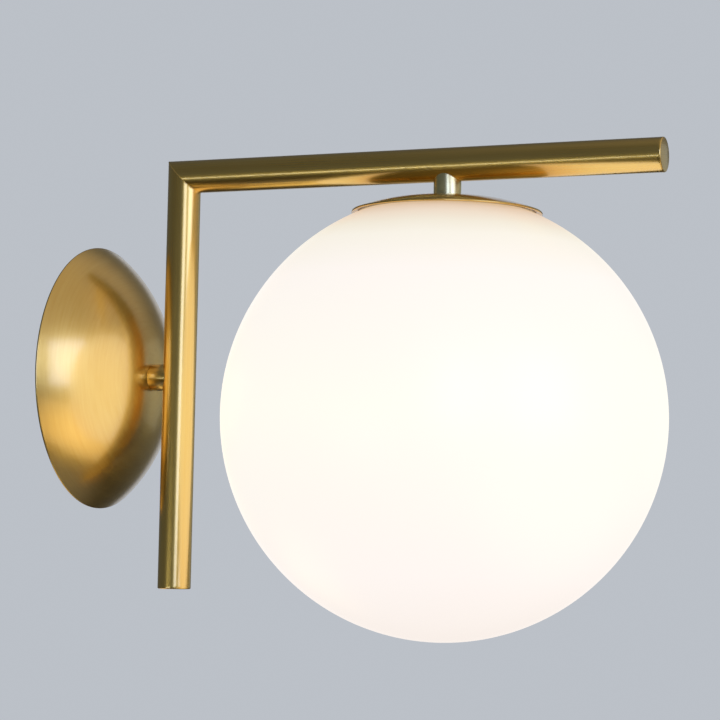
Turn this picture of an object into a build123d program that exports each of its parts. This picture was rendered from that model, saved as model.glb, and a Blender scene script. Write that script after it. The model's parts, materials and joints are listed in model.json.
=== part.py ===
from build123d import *
import os
from math import acos, cos, degrees, inf, pi, radians, sin, sqrt, tan

# Globe wall sconce: a domed canopy on the wall, a stub, an upright tube, an arm mitred to
# its top, and an opal glass globe that hangs under the arm from a short stem.
#
# Millimetres. The wall is the plane Y = 0 and the light stands out of it towards -Y.
# +Z is up. The origin is on the wall, at the centre of the canopy.

# ------------------------------------------------------------------ driving dimensions

# Tubes of the frame
tube_radius = 7.8
tube_wall = 1.2
upright_reach = 43.0        # wall to the axis of the upright
arm_height = 95.0           # canopy centre to the axis of the arm
upright_drop = 99.0         # canopy centre to the foot of the upright
arm_reach = 276.0           # wall to the tip of the arm
lead_hole_radius = 3.25     # way in for the leads, at the back of the upright
plug_face = 1.5             # thickness of an end plug's visible disc
plug_depth = 6.0            # length of the plug inside the tube
plug_bevel = 0.4
braze_gap = 0.05
cut_margin = 1.0            # how far a cut reaches past the metal it goes through
level_margin = 0.1          # half the height of the band in which an edge is looked for

# Canopy
canopy_radius = 62.0
canopy_height = 29.0        # wall to the flat top of the dome
canopy_top_radius = 6.6     # flat that the stub bears on
canopy_wall = 1.0
canopy_edge = 0.9           # straight lip at the rim
canopy_wall_gap = 1.0       # shadow gap between the rim and the wall
canopy_hole_clearance = 0.15

# Strap on the wall
strap_width = 22.0
strap_half_length = 50.0
strap_thickness = 2.0
bridge_half_length = 26.0
bridge_height = 11.0        # wall to the front of the bridge
slot_spacing = 76.0
slot_length = 12.0
slot_width = 4.5
outer_bend = 2.8
inner_bend = 0.8

# Hollow spigot and its nuts
spigot_thread_radius = 5.0
spigot_plain_radius = 4.0
spigot_bore_radius = 2.8
spigot_back = 4.5           # wall to the open back end
spigot_front_gap = 0.6      # end of the spigot to the upright
thread_clearance = 0.05
spigot_nut_flats = 14.0
spigot_nut_height = 3.0
spigot_washer_radius = 7.5
spigot_washer_height = 0.8
window_back = 15.2          # side window where the leads go in
window_length = 7.3
window_floor = -1.0
lock_groove_width = 2.4
lock_groove_depth = 0.8

# Stub
stub_radius = 6.25
stub_bore_clearance = 0.03
stub_seat_gap = 0.05
grub_radius = 1.5
grub_dog_radius = 1.0
grub_socket_flats = 1.5
grub_socket_depth = 1.2
grub_from_canopy = 3.1      # top of the canopy to the axis of the grub screw

# Terminal block
block_length = 24.0
block_height = 13.0
block_depth = 8.0
block_bottom = 10.5         # above the canopy centre
pole_spacing = 8.0
pole_rib = 3.2
insert_radius = 2.1
insert_bore_radius = 1.3
insert_inset = 0.8
block_lead_depth = 4.0      # front of the strap to the axis of the leads
terminal_screw_radius = 1.2
terminal_screw_length = 2.6
terminal_screw_spacing = 6.0
screw_slot_depth = 0.6
screw_slot_width = 0.5
screw_slot_angle = 35.0
block_screw_radius = 1.0
block_screw_head = 1.4
block_screw_head_height = 1.2

# Earth point
earth_drop = 17.0           # canopy centre to the earth screw
earth_screw_radius = 2.0
earth_head_radius = 4.0
earth_head_height = 2.6
earth_head_fillet = 0.9
earth_recess_length = 4.4
earth_recess_width = 1.0
earth_recess_depth = 1.2
earth_recess_angle = 20.0
earth_screw_length = 5.0
tag_radius = 4.4
tag_thickness = 0.8
tag_barrel_radius = 1.5
tag_barrel_start = 6.0
tag_barrel_length = 5.0
tag_angle = 45.0

# Leads
lead_radius = 0.9
lead_spread = 1.2           # half the distance between live and neutral inside the tubes
lead_sag = 0.6              # the leads lie this far under the spigot's axis
lead_rise = 2.5             # and this far above the arm's axis
upright_bend = 13.0         # bends limited by the room inside the metal
mitre_bend = 22.0
nipple_bend = 8.0
bend_share = 0.45           # part of the shorter run that a bend may use up
lead_into_block = 3.6       # foot of the block to the end of a lead in it
lead_below_block = 1.0      # straight part under the block
live_in_window = 4.3        # back of the spigot's window to the live lead
neutral_in_window = 5.3
lead_spread_drop = 1.5      # foot of the nipple to where the leads part
lead_entry_height = 1.0     # above the holder's terminals
lead_end_height = 1.5       # above the holder's web
earth_lead_bite = 3.0       # length of the lead inside the tag's barrel
earth_lead_straight = 4.0   # straight part beyond the barrel
earth_bow_out = 3.0         # the earth lead bows this far beyond its pole
earth_bow_back = 0.5
earth_bow_height = 3.0

# Stem and nipple
globe_reach = 175.5         # wall to the axis of the globe
stem_radius = 6.25
stem_length = 7.6           # underside of the arm to the top of the cap
nipple_radius = 4.0
nipple_bore_radius = 2.8
nipple_into_arm = 6.3       # above the underside of the arm
nipple_below_cap = 13.0     # below the top of the cap
nipple_hole_clearance = 0.2
saddle_length = 14.0
saddle_height = 5.0

# Glass globe
globe_radius = 100.0
glass_wall = 3.0
mouth_radius = 37.5
mouth_edge = 0.8

# Cap over the globe
cap_radius = 43.2
cap_wall = 0.8
cap_headroom = 6.35         # top of the cap over the edge of the glass mouth
cap_flat_radius = 9.0
cap_shoulder_width = 9.2
cap_shoulder_drop = 3.4
cap_edge = 0.5
cap_glass_gap = 0.3
gasket_width = 2.2
gasket_thickness = 0.3
gasket_inset = 3.2          # rim of the cap to the gasket

# Collar bonded in the mouth
collar_wall = 1.2
bond_gap = 0.2
collar_stand = 0.3          # above the edge of the glass
collar_height = 11.0
flare_width = 2.7
flare_thickness = 0.8
flare_drop = 0.9
flare_gap = 0.3

# Gallery
gallery_gap = 3.1           # rim of the plate to the collar
gallery_wall = 1.2
gallery_drop = 5.05
gallery_flat_radius = 8.8
gallery_ring_radius = 18.0
spring_count = 3
spring_start_angle = 30.0
spring_width = 9.0
spring_thickness = 0.5
spring_clearance = 0.12
spring_foot = 11.0
spring_length = 11.0
spring_bulge = 5.0          # foot of a leaf to its widest point
spring_step = 0.6           # the leaf turns down this far outside the plate
spring_tip_inset = 2.0
spring_bend = 1.2
rivet_radius = 1.5
rivet_head_radius = 2.5
rivet_head_height = 1.0
rivet_inset = 5.0
washer_radius = 7.6
washer_thickness = 1.0
nut_flats = 13.0
nut_height = 4.0

# Lampholder
holder_neck_radius = 7.5
holder_radius = 13.8
holder_wall = 2.0
holder_neck_height = 6.5
holder_shoulder_height = 6.0
holder_cap_height = 15.5
holder_neck_fillet = 1.5
holder_body_length = 31.0
holder_rim = 1.2
web_drop = 6.5              # top of the holder's body to its web
web_thickness = 2.5
shell_radius = 7.6
shell_wall = 0.4
shell_length = 17.0
shell_flange_radius = 9.5
contact_width = 4.0
contact_thickness = 0.4
contact_gap = 0.3
contact_reach = 5.6
terminal_offset = 6.5
terminal_width = 4.2
terminal_size = 5.5
terminal_bore_radius = 1.1
holder_screw_radius = 1.1
holder_screw_length = 3.0

# LED lamp
bulb_length = 78.0
envelope_radius = 22.5
envelope_wall = 1.2
screw_cap_radius = 6.95
screw_cap_length = 17.0
thread_pitch = 2.822
thread_depth = 0.3
thread_turns = 4
thread_lead_in = 1.0
insulator_height = 2.0
insulator_top_radius = 3.4
tip_radius = 2.4
tip_height = 1.0
bulb_collar_neck = 7.6
bulb_collar_radius = 16.5
bulb_collar_wall = 1.5
driver_width = 9.0
driver_length = 14.0
driver_thickness = 1.6
led_board_thickness = 1.0
led_board_inset = 0.4
led_count = 8
led_size = 2.8
led_height = 0.7
led_circle_radius = 9.0

# ------------------------------------------------------------------ places worked out

tube_bore = tube_radius - tube_wall
arm_underside = arm_height - tube_radius
canopy_top = canopy_height
spigot_front = upright_reach - tube_radius - spigot_front_gap
spigot_shoulder = canopy_height - thread_clearance
bridge_back = bridge_height - strap_thickness
block_middle = block_bottom + block_height / 2
block_screw_place = (pole_spacing / 2, block_middle)
grub_distance = canopy_top + grub_from_canopy
stub_bore = spigot_plain_radius + stub_bore_clearance
groove_radius = spigot_plain_radius - lock_groove_depth

cap_top = arm_underside - stem_length
mouth_edge_height = cap_top - cap_headroom
globe_height = mouth_edge_height - sqrt(globe_radius**2 - mouth_radius**2)
glass_bore = globe_radius - glass_wall
collar_radius = mouth_radius - bond_gap
collar_bore = collar_radius - collar_wall
collar_top = mouth_edge_height + collar_stand
plate_radius = collar_bore - gallery_gap
rivet_circle = plate_radius - rivet_inset
cap_underside = cap_top - cap_wall
plate_ring_top = cap_underside - gallery_drop
plate_ring_underside = plate_ring_top - gallery_wall
plate_underside = cap_underside - gallery_wall
nut_underside = plate_underside - washer_thickness - nut_height
holder_top = nut_underside - spring_thickness
nipple_top = arm_underside + nipple_into_arm
nipple_bottom = cap_top - nipple_below_cap

body_top = holder_top - holder_cap_height - thread_clearance
body_bottom = body_top - holder_body_length
web_top = body_top - web_drop
web_underside = web_top - web_thickness
tip_top = web_underside - contact_thickness - contact_gap - contact_thickness
bulb_bottom = tip_top - bulb_length
envelope_height = bulb_bottom + envelope_radius
collar_joint = envelope_height + sqrt(envelope_radius**2 - bulb_collar_radius**2)
cap_joint = tip_top - screw_cap_length


def glass_height(radius, sphere_radius=globe_radius):
    """Height of the upper half of the glass over a circle round the globe's axis."""
    return globe_height + sqrt(sphere_radius**2 - radius**2)


# ------------------------------------------------------------------ planes and axes

# Half section through the wall's axis: X is the radius and Y the distance from the wall.
WALL_SECTION = Plane(origin=(0, 0, 0), x_dir=(1, 0, 0), z_dir=(0, 0, -1))

# Side view of the strap: X is the height and Y the distance from the wall.
STRAP_SECTION = Plane(origin=(0, 0, 0), x_dir=(0, 0, 1), z_dir=(1, 0, 0))

# The mitre lies in this plane. The upright is on the side that its normal points to.
MITRE = Plane(origin=(0, -upright_reach, arm_height), x_dir=(1, 0, 0), z_dir=(0, 1, -1))

LAMP_AXIS = Axis((0, -globe_reach, 0), (0, 0, 1))


def wall_plane(distance):
    """Plane parallel to the wall, seen from the room."""
    return Plane(origin=(0, -distance, 0), x_dir=(1, 0, 0), z_dir=(0, -1, 0))


def arm_plane(distance):
    """Plane across the arm, seen from the room."""
    return Plane(origin=(0, -distance, arm_height), x_dir=(1, 0, 0), z_dir=(0, -1, 0))


def lamp_plane(height):
    """Level plane centred on the globe's axis."""
    return Plane(origin=(0, -globe_reach, height))


def lamp_section(angle=0.0):
    """Half section through the globe's axis: X is the radius and Y the height."""
    a = radians(angle)
    return Plane(
        origin=(0, -globe_reach, 0), x_dir=(cos(a), sin(a), 0), z_dir=(sin(a), -cos(a), 0)
    )


# ------------------------------------------------------------------ strap on the wall

with BuildPart() as wall_bracket:
    with BuildSketch(STRAP_SECTION):
        leg_out = bridge_half_length
        leg_in = bridge_half_length - strap_thickness
        with BuildLine():
            Polyline(
                (strap_half_length, 0),
                (leg_in, 0),
                (leg_in, bridge_back),
                (-leg_in, bridge_back),
                (-leg_in, 0),
                (-strap_half_length, 0),
                (-strap_half_length, strap_thickness),
                (-leg_out, strap_thickness),
                (-leg_out, bridge_height),
                (leg_out, bridge_height),
                (leg_out, strap_thickness),
                (strap_half_length, strap_thickness),
                close=True,
            )
        make_face()
    extrude(amount=strap_width / 2, both=True)
    bends = wall_bracket.edges().filter_by(Axis.X)
    fillet(bends.group_by(Axis.Y)[0], outer_bend)
    bends = wall_bracket.edges().filter_by(Axis.X)
    inside = bends.filter_by_position(Axis.Y, -bridge_back - level_margin, -bridge_back + level_margin)
    fillet(inside, inner_bend)
    with BuildSketch(wall_plane(0)):
        with Locations((0, slot_spacing / 2), (0, -slot_spacing / 2)):
            SlotOverall(slot_length, slot_width, rotation=90)
    extrude(amount=strap_thickness, mode=Mode.SUBTRACT)
    with BuildSketch(wall_plane(bridge_back)):
        Circle(spigot_thread_radius + thread_clearance)
        with Locations((0, -earth_drop)):
            Circle(earth_screw_radius + thread_clearance)
        with Locations(block_screw_place):
            Circle(block_screw_radius + thread_clearance)
    extrude(amount=strap_thickness, mode=Mode.SUBTRACT)

# ------------------------------------------------------------------ hollow spigot

with BuildPart() as wall_spigot:
    with BuildSketch(wall_plane(spigot_back)):
        Circle(spigot_thread_radius)
    extrude(amount=spigot_shoulder - spigot_back)
    with BuildSketch(wall_plane(spigot_shoulder)):
        Circle(spigot_plain_radius)
    extrude(amount=spigot_front - spigot_shoulder)
    with BuildSketch(wall_plane(grub_distance - lock_groove_width / 2)):
        Circle(spigot_plain_radius)
        Circle(groove_radius, mode=Mode.SUBTRACT)
    extrude(amount=lock_groove_width, mode=Mode.SUBTRACT)
    with BuildSketch(wall_plane(spigot_back)):
        Circle(spigot_bore_radius)
    extrude(amount=spigot_front - spigot_back, mode=Mode.SUBTRACT)
    with BuildSketch(wall_plane(window_back)):
        with Locations((0, window_floor)):
            Rectangle(
                2 * spigot_thread_radius + cut_margin,
                spigot_thread_radius - window_floor + cut_margin,
                align=(Align.CENTER, Align.MIN),
            )
    extrude(amount=window_length, mode=Mode.SUBTRACT)

with BuildPart() as spigot_nuts:
    back_nut = bridge_back - spigot_nut_height
    front_nut = bridge_height + spigot_washer_height
    with BuildSketch(wall_plane(back_nut), wall_plane(front_nut)):
        RegularPolygon(spigot_nut_flats / 2, 6, major_radius=False, rotation=30)
        Circle(spigot_thread_radius + thread_clearance, mode=Mode.SUBTRACT)
    extrude(amount=spigot_nut_height)

with BuildPart() as spigot_washer:
    with BuildSketch(wall_plane(bridge_height)):
        Circle(spigot_washer_radius)
        Circle(spigot_thread_radius + thread_clearance, mode=Mode.SUBTRACT)
    extrude(amount=spigot_washer_height)

# ------------------------------------------------------------------ canopy

with BuildPart() as canopy:
    rim = canopy_wall_gap
    with BuildSketch(WALL_SECTION):
        with BuildLine():
            top = Line((0, canopy_top), (canopy_top_radius, canopy_top))
            dome = TangentArc(top @ 1, (canopy_radius, rim + canopy_edge), tangent=top % 1)
            Polyline(dome @ 1, (canopy_radius, rim), (0, rim), (0, canopy_top))
        make_face()
    revolve(axis=Axis.Y)
    offset(amount=-canopy_wall, openings=canopy.faces().sort_by(Axis.Y)[-1])
    with BuildSketch(wall_plane(0)):
        Circle(spigot_thread_radius + canopy_hole_clearance)
    extrude(amount=canopy_top, mode=Mode.SUBTRACT)

# ------------------------------------------------------------------ terminal block

block_front = bridge_height + block_depth
lead_distance = bridge_height + block_lead_depth
poles = [(-pole_spacing, 0), (0, 0), (pole_spacing, 0)]
screw_rows = [terminal_screw_spacing / 2, -terminal_screw_spacing / 2]
screw_places = [(x, block_middle + row) for x, _ in poles for row in screw_rows]
pole_plane = Plane(origin=(0, -lead_distance, block_bottom))

with BuildPart() as terminal_block:
    with BuildSketch(wall_plane(bridge_height)):
        with Locations((0, block_middle)):
            Rectangle(block_length, block_height)
    extrude(amount=block_depth)
    with BuildSketch(wall_plane(lead_distance)):
        with Locations((pole_spacing / 2, block_middle), (-pole_spacing / 2, block_middle)):
            Rectangle(pole_rib, block_height)
    extrude(amount=block_front - lead_distance, mode=Mode.SUBTRACT)
    with BuildSketch(pole_plane):
        with Locations(*poles):
            Circle(insert_radius)
    extrude(amount=block_height, mode=Mode.SUBTRACT)
    with BuildSketch(wall_plane(lead_distance)):
        with Locations(*screw_places):
            Circle(terminal_screw_radius + thread_clearance)
    extrude(amount=block_front - lead_distance, mode=Mode.SUBTRACT)
    with BuildSketch(wall_plane(bridge_height)):
        with Locations(block_screw_place):
            Circle(block_screw_radius + thread_clearance)
    extrude(amount=block_depth, mode=Mode.SUBTRACT)

with BuildPart() as terminal_inserts:
    with BuildSketch(pole_plane.offset(insert_inset)):
        with Locations(*poles):
            Circle(insert_radius - thread_clearance)
            Circle(insert_bore_radius, mode=Mode.SUBTRACT)
    extrude(amount=block_height - 2 * insert_inset)
    with BuildSketch(wall_plane(lead_distance)):
        with Locations(*screw_places):
            Circle(terminal_screw_radius + thread_clearance)
    extrude(amount=insert_radius + cut_margin, mode=Mode.SUBTRACT)

with BuildPart() as terminal_screws:
    screw_foot = lead_distance + lead_radius + thread_clearance
    with BuildSketch(wall_plane(screw_foot)):
        with Locations(*screw_places):
            Circle(terminal_screw_radius)
    extrude(amount=terminal_screw_length)
    slot_span = 2 * terminal_screw_radius + cut_margin
    with BuildSketch(wall_plane(screw_foot + terminal_screw_length - screw_slot_depth)):
        with Locations(*screw_places):
            Rectangle(slot_span, screw_slot_width, rotation=screw_slot_angle)
    extrude(amount=screw_slot_depth + cut_margin, mode=Mode.SUBTRACT)

with BuildPart() as block_screw:
    with BuildSketch(wall_plane(bridge_back)):
        with Locations(block_screw_place):
            Circle(block_screw_radius)
    extrude(amount=lead_distance - bridge_back)
    with BuildSketch(wall_plane(lead_distance)):
        with Locations(block_screw_place):
            Circle(block_screw_head)
    extrude(amount=block_screw_head_height)

# ------------------------------------------------------------------ earth point

tag_direction = (cos(radians(tag_angle)), sin(radians(tag_angle)))
tag_front = bridge_height + tag_thickness
barrel_distance = bridge_height + tag_barrel_radius


def along_tag(distance):
    """Point on the tag's centre line, as X and Z."""
    return (distance * tag_direction[0], distance * tag_direction[1] - earth_drop)


barrel_start = along_tag(tag_barrel_start)
barrel_plane = Plane(
    origin=(barrel_start[0], -barrel_distance, barrel_start[1]),
    z_dir=(tag_direction[0], 0, tag_direction[1]),
)

with BuildPart() as earth_tag:
    with BuildSketch(wall_plane(bridge_height)):
        with Locations((0, -earth_drop)):
            Circle(tag_radius)
        with Locations(along_tag(tag_barrel_start / 2)):
            Rectangle(tag_barrel_start, 2 * tag_barrel_radius, rotation=tag_angle)
        with Locations((0, -earth_drop)):
            Circle(earth_screw_radius + thread_clearance, mode=Mode.SUBTRACT)
    extrude(amount=tag_thickness)
    with BuildSketch(barrel_plane):
        Circle(tag_barrel_radius)
    extrude(amount=tag_barrel_length)
    with BuildSketch(barrel_plane):
        Circle(lead_radius + thread_clearance)
    extrude(amount=tag_barrel_length, mode=Mode.SUBTRACT)

with BuildPart() as earth_screw:
    with BuildSketch(wall_plane(tag_front)):
        with Locations((0, -earth_drop)):
            Circle(earth_head_radius)
    extrude(amount=earth_head_height)
    fillet(earth_screw.edges().group_by(Axis.Y)[0], earth_head_fillet)
    with BuildSketch(wall_plane(tag_front + earth_head_height - earth_recess_depth)):
        with Locations((0, -earth_drop)):
            Rectangle(earth_recess_length, earth_recess_width, rotation=earth_recess_angle)
            Rectangle(earth_recess_width, earth_recess_length, rotation=earth_recess_angle)
    extrude(amount=earth_recess_depth + cut_margin, mode=Mode.SUBTRACT)
    with BuildSketch(wall_plane(tag_front)):
        with Locations((0, -earth_drop)):
            Circle(earth_screw_radius)
    extrude(amount=-earth_screw_length)

# ------------------------------------------------------------------ frame

with BuildPart() as frame_stub:
    with BuildSketch(wall_plane(canopy_top + stub_seat_gap)):
        Circle(stub_radius)
        Circle(stub_bore, mode=Mode.SUBTRACT)
    extrude(amount=upright_reach - canopy_top)
    with BuildSketch(Plane.XY.offset(-stub_radius)):
        with Locations((0, -upright_reach)):
            Circle(tube_radius + braze_gap)
    extrude(amount=2 * stub_radius, mode=Mode.SUBTRACT)
    with BuildSketch(Plane(origin=(0, -grub_distance, 0), z_dir=(0, 0, -1))):
        Circle(grub_radius + thread_clearance)
    extrude(amount=stub_radius, mode=Mode.SUBTRACT)
    # The cope leaves two horns beyond the tube; only the sleeve behind the tube is kept.
    split(bisect_by=Plane.XZ.offset(upright_reach), keep=Keep.BOTTOM)

with BuildPart() as stub_grub_screw:
    dog_end = groove_radius + thread_clearance
    shank_start = stub_bore + thread_clearance
    with BuildSketch(Plane(origin=(0, -grub_distance, -dog_end), z_dir=(0, 0, -1))):
        Circle(grub_dog_radius)
    extrude(amount=shank_start - dog_end)
    with BuildSketch(Plane(origin=(0, -grub_distance, -shank_start), z_dir=(0, 0, -1))):
        Circle(grub_radius)
    extrude(amount=stub_radius - shank_start)
    with BuildSketch(Plane(origin=(0, -grub_distance, -stub_radius), z_dir=(0, 0, 1))):
        RegularPolygon(grub_socket_flats / 2, 6, major_radius=False)
    extrude(amount=grub_socket_depth, mode=Mode.SUBTRACT)

with BuildPart() as upright_tube:
    with BuildSketch(Plane(origin=(0, -upright_reach, plug_face - upright_drop))):
        Circle(tube_radius)
        Circle(tube_bore, mode=Mode.SUBTRACT)
    extrude(amount=arm_height + upright_drop - plug_face + tube_radius)
    split(bisect_by=MITRE, keep=Keep.TOP)
    with BuildSketch(wall_plane(upright_reach - tube_radius - cut_margin)):
        Circle(lead_hole_radius)
    extrude(amount=tube_radius, mode=Mode.SUBTRACT)

with BuildPart() as arm_tube:
    with BuildSketch(arm_plane(upright_reach - tube_radius)):
        Circle(tube_radius)
        Circle(tube_bore, mode=Mode.SUBTRACT)
    extrude(amount=arm_reach - plug_face - upright_reach + tube_radius)
    split(bisect_by=MITRE, keep=Keep.BOTTOM)
    with BuildSketch(lamp_plane(arm_underside - cut_margin)):
        Circle(nipple_radius + nipple_hole_clearance)
    extrude(amount=tube_radius, mode=Mode.SUBTRACT)

with BuildPart() as upright_end_plug:
    with BuildSketch(Plane(origin=(0, -upright_reach, -upright_drop))):
        Circle(tube_radius)
    extrude(amount=plug_face)
    chamfer(upright_end_plug.edges().group_by(Axis.Z)[0], plug_bevel)
    with BuildSketch(Plane(origin=(0, -upright_reach, plug_face - upright_drop))):
        Circle(tube_bore - braze_gap)
    extrude(amount=plug_depth)

with BuildPart() as arm_end_plug:
    with BuildSketch(arm_plane(arm_reach - plug_face)):
        Circle(tube_radius)
    extrude(amount=plug_face)
    chamfer(arm_end_plug.edges().group_by(Axis.Y)[0], plug_bevel)
    with BuildSketch(arm_plane(arm_reach - plug_face)):
        Circle(tube_bore - braze_gap)
    extrude(amount=-plug_depth)

# ------------------------------------------------------------------ stem and nipple

with BuildPart() as stem:
    with BuildSketch(lamp_plane(cap_top)):
        Circle(stem_radius)
        Circle(nipple_radius + thread_clearance, mode=Mode.SUBTRACT)
    extrude(amount=stem_length + tube_radius)
    with BuildSketch(arm_plane(globe_reach - 2 * stem_radius)):
        Circle(tube_radius + braze_gap)
    extrude(amount=4 * stem_radius, mode=Mode.SUBTRACT)
    split(bisect_by=Plane.XY.offset(arm_height), keep=Keep.BOTTOM)

with BuildPart() as arm_saddle_nut:
    with BuildSketch(arm_plane(globe_reach)):
        Circle(tube_bore - braze_gap)
        with Locations((0, saddle_height - tube_bore)):
            Rectangle(
                2 * tube_radius,
                2 * tube_radius,
                align=(Align.CENTER, Align.MIN),
                mode=Mode.SUBTRACT,
            )
    extrude(amount=saddle_length / 2, both=True)
    with BuildSketch(lamp_plane(arm_underside)):
        Circle(nipple_radius + thread_clearance)
    extrude(amount=tube_radius, mode=Mode.SUBTRACT)

with BuildPart() as stem_nipple:
    with BuildSketch(lamp_plane(nipple_bottom)):
        Circle(nipple_radius)
        Circle(nipple_bore_radius, mode=Mode.SUBTRACT)
    extrude(amount=nipple_top - nipple_bottom)

# ------------------------------------------------------------------ glass globe

with BuildPart() as globe:
    outer_angle = degrees(acos(mouth_radius / globe_radius))
    inner_angle = degrees(acos(mouth_radius / glass_bore))
    with BuildSketch(lamp_section()):
        with BuildLine():
            outside = CenterArc((0, globe_height), globe_radius, -90, 90 + outer_angle)
            inside = CenterArc((0, globe_height), glass_bore, -90, 90 + inner_angle)
            Line(outside @ 0, inside @ 0)
            Line(outside @ 1, inside @ 1)
        make_face()
    revolve(axis=LAMP_AXIS)
    fillet(globe.edges().filter_by(GeomType.CIRCLE).sort_by(Axis.Z)[-2:], mouth_edge)

with BuildPart() as globe_collar:
    flare_radius = collar_radius + flare_width
    flare_rim = glass_height(flare_radius, glass_bore) - flare_gap
    flare_root = flare_rim + flare_drop
    with BuildSketch(lamp_section()):
        with BuildLine():
            Polyline(
                (collar_bore, collar_top),
                (collar_radius, collar_top),
                (collar_radius, flare_root),
                (flare_radius, flare_rim),
                (flare_radius, flare_rim - flare_thickness),
                (collar_radius, flare_root - flare_thickness),
                (collar_radius, collar_top - collar_height),
                (collar_bore, collar_top - collar_height),
                close=True,
            )
        make_face()
    revolve(axis=LAMP_AXIS)

# ------------------------------------------------------------------ cap and gallery

cap_rim = glass_height(cap_radius) + cap_glass_gap
shoulder_radius = cap_radius - cap_shoulder_width

with BuildPart() as globe_cap:
    with BuildSketch(lamp_section()):
        with BuildLine():
            flat = Line((0, cap_top), (cap_flat_radius, cap_top))
            dome = TangentArc(flat @ 1, (shoulder_radius, cap_top - cap_shoulder_drop), tangent=flat % 1)
            shoulder = TangentArc(dome @ 1, (cap_radius, cap_rim + cap_edge), tangent=dome % 1)
            Polyline(shoulder @ 1, (cap_radius, cap_rim), (0, cap_rim), (0, cap_top))
        make_face()
    revolve(axis=LAMP_AXIS)
    offset(amount=-cap_wall, openings=globe_cap.faces().sort_by(Axis.Z)[0])
    with BuildSketch(lamp_plane(cap_top)):
        Circle(nipple_radius + thread_clearance)
    extrude(amount=-2 * cap_wall, mode=Mode.SUBTRACT)
    # The rim hugs the glass: a band of clearance round the mouth is taken off its edge.
    clear_radius = globe_radius + cap_glass_gap
    clear_start = degrees(acos((cap_radius + cap_wall) / clear_radius))
    clear_end = degrees(acos(mouth_radius / clear_radius))
    with BuildSketch(lamp_section()):
        with BuildLine():
            clear = CenterArc((0, globe_height), clear_radius, clear_start, clear_end - clear_start)
            Polyline(clear @ 1, (mouth_radius, cap_rim - cap_headroom), clear @ 0)
        make_face()
    revolve(axis=LAMP_AXIS, mode=Mode.SUBTRACT)

with BuildPart() as cap_gasket:
    gasket_outer = cap_radius - gasket_inset
    gasket_inner = gasket_outer - gasket_width
    seat = globe_radius + cap_glass_gap / 2
    outer_end = degrees(acos(gasket_outer / seat))
    inner_end = degrees(acos(gasket_inner / seat))
    with BuildSketch(lamp_section()):
        with BuildLine():
            low = CenterArc((0, globe_height), seat, outer_end, inner_end - outer_end)
            high = CenterArc(
                (0, globe_height), seat + gasket_thickness, outer_end, inner_end - outer_end
            )
            Line(low @ 0, high @ 0)
            Line(low @ 1, high @ 1)
        make_face()
    revolve(axis=LAMP_AXIS)

with BuildPart() as gallery_plate:
    with BuildSketch(lamp_section()):
        with BuildLine():
            Polyline(
                (nipple_radius + thread_clearance, cap_underside),
                (gallery_flat_radius, cap_underside),
                (gallery_ring_radius, plate_ring_top),
                (plate_radius, plate_ring_top),
                (plate_radius, plate_ring_underside),
                (gallery_ring_radius - gallery_wall / 2, plate_ring_underside),
                (gallery_flat_radius - gallery_wall / 2, plate_underside),
                (nipple_radius + thread_clearance, plate_underside),
                close=True,
            )
        make_face()
    revolve(axis=LAMP_AXIS)
    with BuildSketch(lamp_plane(plate_ring_underside)):
        with PolarLocations(rivet_circle, spring_count, start_angle=spring_start_angle):
            Circle(rivet_radius + thread_clearance)
    extrude(amount=gallery_wall, mode=Mode.SUBTRACT)

with BuildPart() as leaf_springs:
    # The corners of a flat leaf stand further out than its middle.
    bulge_radius = sqrt((collar_bore - spring_clearance) ** 2 - (spring_width / 2) ** 2)
    foot = plate_ring_underside
    spring_step_angle = 360 / spring_count
    planes = [
        lamp_section(spring_start_angle + spring * spring_step_angle)
        for spring in range(spring_count)
    ]
    with BuildSketch(*planes):
        with BuildLine():
            leaf = FilletPolyline(
                (plate_radius - spring_foot, foot),
                (plate_radius + spring_step, foot),
                (bulge_radius, foot - spring_bulge),
                (bulge_radius - spring_tip_inset, foot - spring_length),
                radius=spring_bend,
            )
            offset(leaf, amount=spring_thickness, side=Side.RIGHT)
        make_face()
    extrude(amount=spring_width / 2, both=True)
    with BuildSketch(lamp_plane(foot - spring_thickness - cut_margin)):
        with PolarLocations(rivet_circle, spring_count, start_angle=spring_start_angle):
            Circle(rivet_radius + thread_clearance)
    extrude(amount=spring_thickness + 2 * cut_margin, mode=Mode.SUBTRACT)

with BuildPart() as spring_rivets:
    rivet_foot = plate_ring_underside - spring_thickness
    upper_head = plate_ring_top + rivet_head_height
    with BuildSketch(lamp_plane(rivet_foot)):
        with PolarLocations(rivet_circle, spring_count, start_angle=spring_start_angle):
            Circle(rivet_radius)
    extrude(amount=plate_ring_top - rivet_foot)
    with BuildSketch(lamp_plane(rivet_foot), lamp_plane(upper_head)):
        with PolarLocations(rivet_circle, spring_count, start_angle=spring_start_angle):
            Circle(rivet_head_radius)
    extrude(amount=-rivet_head_height)

with BuildPart() as nipple_washer:
    with BuildSketch(lamp_plane(plate_underside)):
        Circle(washer_radius)
        Circle(nipple_radius + thread_clearance, mode=Mode.SUBTRACT)
    extrude(amount=-washer_thickness)

with BuildPart() as nipple_nut:
    with BuildSketch(lamp_plane(plate_underside - washer_thickness)):
        RegularPolygon(nut_flats / 2, 6, major_radius=False)
        Circle(nipple_radius + thread_clearance, mode=Mode.SUBTRACT)
    extrude(amount=-nut_height)

# ------------------------------------------------------------------ lampholder

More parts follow.
